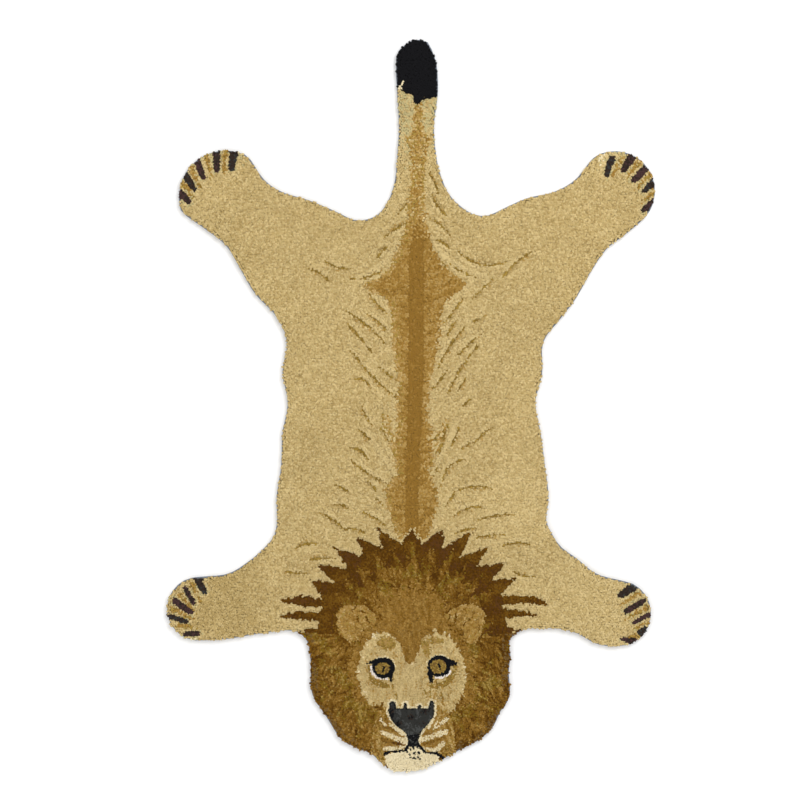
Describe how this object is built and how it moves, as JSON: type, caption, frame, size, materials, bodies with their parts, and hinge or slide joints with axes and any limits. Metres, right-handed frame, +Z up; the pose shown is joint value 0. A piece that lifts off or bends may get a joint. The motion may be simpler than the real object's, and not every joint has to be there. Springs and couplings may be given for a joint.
{
  "type": "lion-skin-shaped tufted wool rug",
  "caption": "Flat hand-tufted wool rug in the outline of a lion's hide, with head, mane, paws and tail, lying face up on a cotton backing.",
  "frame": {"origin": "middle of the underside, where the backing lies on the floor", "axes": "+Y along the spine towards the tip of the tail, +X to the right seen from above with the tail up, +Z up out of the pile"},
  "size_m": [1, 1.5, 0.0143],
  "materials": {
    "backing_cotton": "plain-woven grey cotton backing cloth, matt",
    "pile_wool": "cut and carved wool pile in sand, gold, browns, cream and black yarns, matt with a faint fibre sheen"
  },
  "bodies": {
    "root": {"backing": "backing_cotton", "pile": "pile_wool"}
  },
  "joints": []
}
